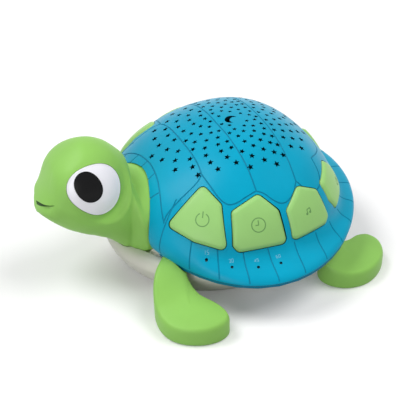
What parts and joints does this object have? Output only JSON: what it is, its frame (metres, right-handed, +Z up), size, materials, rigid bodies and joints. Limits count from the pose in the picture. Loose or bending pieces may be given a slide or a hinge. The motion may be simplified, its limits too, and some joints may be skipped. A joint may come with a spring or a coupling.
{
  "type": "star night light projector",
  "caption": "Turtle-shaped night light: star-perforated dome shell with four push scutes over a battery and speaker casing, fixed head and four flippers.",
  "frame": {"origin": "where the turtle rests: the middle of the belly, between the sound holes and the battery door, on the surface it stands on; the top of the dome is 25 mm towards the rear", "axes": "+Z up, -Y towards the head, +X towards the turtle's left side, where the four push scutes are"},
  "size_m": [0.1844, 0.193, 0.0871],
  "materials": {
    "shell_teal": "satin",
    "ring_teal": "satin",
    "belly_cream": "satin",
    "leaf_green": "satin",
    "eye_white": "gloss",
    "pupil_black": "gloss",
    "circuit_board": "matte",
    "inner_black": "matte",
    "clear_resin": "gloss",
    "cell_jacket": "satin",
    "bright_steel": "satin"
  },
  "bodies": {
    "casing": {"shell": "shell_teal", "brim_ring": "ring_teal", "belly": "belly_cream", "head": "leaf_green", "eye_white_left": "eye_white", "eye_white_right": "eye_white", "pupil_left": "pupil_black", "pupil_right": "pupil_black", "flipper_front_left": "leaf_green", "flipper_front_right": "leaf_green", "flipper_rear_left": "leaf_green", "flipper_rear_right": "leaf_green", "scute_right_1": "leaf_green", "scute_right_2": "leaf_green", "scute_right_3": "leaf_green", "scute_right_4": "leaf_green", "scute_rear": "leaf_green", "switch_boards": "circuit_board", "tact_switches": "inner_black", "main_board": "circuit_board", "led_tower": "inner_black", "led_board": "circuit_board", "projector_leds": "clear_resin", "indicator_board": "circuit_board", "indicator_leds": "clear_resin", "light_pipes": "clear_resin", "speaker": "inner_black", "speaker_ring": "bright_steel", "battery_cells": "cell_jacket", "battery_contacts": "bright_steel", "case_screws": "bright_steel"},
    "button_power": {"button_power": "leaf_green"},
    "button_timer": {"button_timer": "leaf_green"},
    "button_music": {"button_music": "leaf_green"},
    "button_volume": {"button_volume": "leaf_green"},
    "battery_door": {"battery_door": "belly_cream", "door_screw": "bright_steel"}
  },
  "joints": [
    {"name": "button_power_press", "type": "slide", "parent": "casing", "child": "button_power", "axis": [-0.6531, 0.437, -0.6185], "range_m": [0, 0.0012], "stiffness_N_per_m": 900},
    {"name": "button_timer_press", "type": "slide", "parent": "casing", "child": "button_timer", "axis": [-0.8151, 0.1459, -0.5606], "range_m": [0, 0.0012], "stiffness_N_per_m": 900},
    {"name": "button_music_press", "type": "slide", "parent": "casing", "child": "button_music", "axis": [-0.8064, -0.2078, -0.5536], "range_m": [0, 0.0012], "stiffness_N_per_m": 900},
    {"name": "button_volume_press", "type": "slide", "parent": "casing", "child": "button_volume", "axis": [-0.4725, -0.7098, -0.5224], "range_m": [0, 0.0012], "stiffness_N_per_m": 900},
    {"name": "battery_door_swing", "type": "hinge", "parent": "casing", "child": "battery_door", "pos_m": [0, 0.00915, 0.0014], "axis": [-1, 0, 0], "range_deg": [0, 100]}
  ]
}
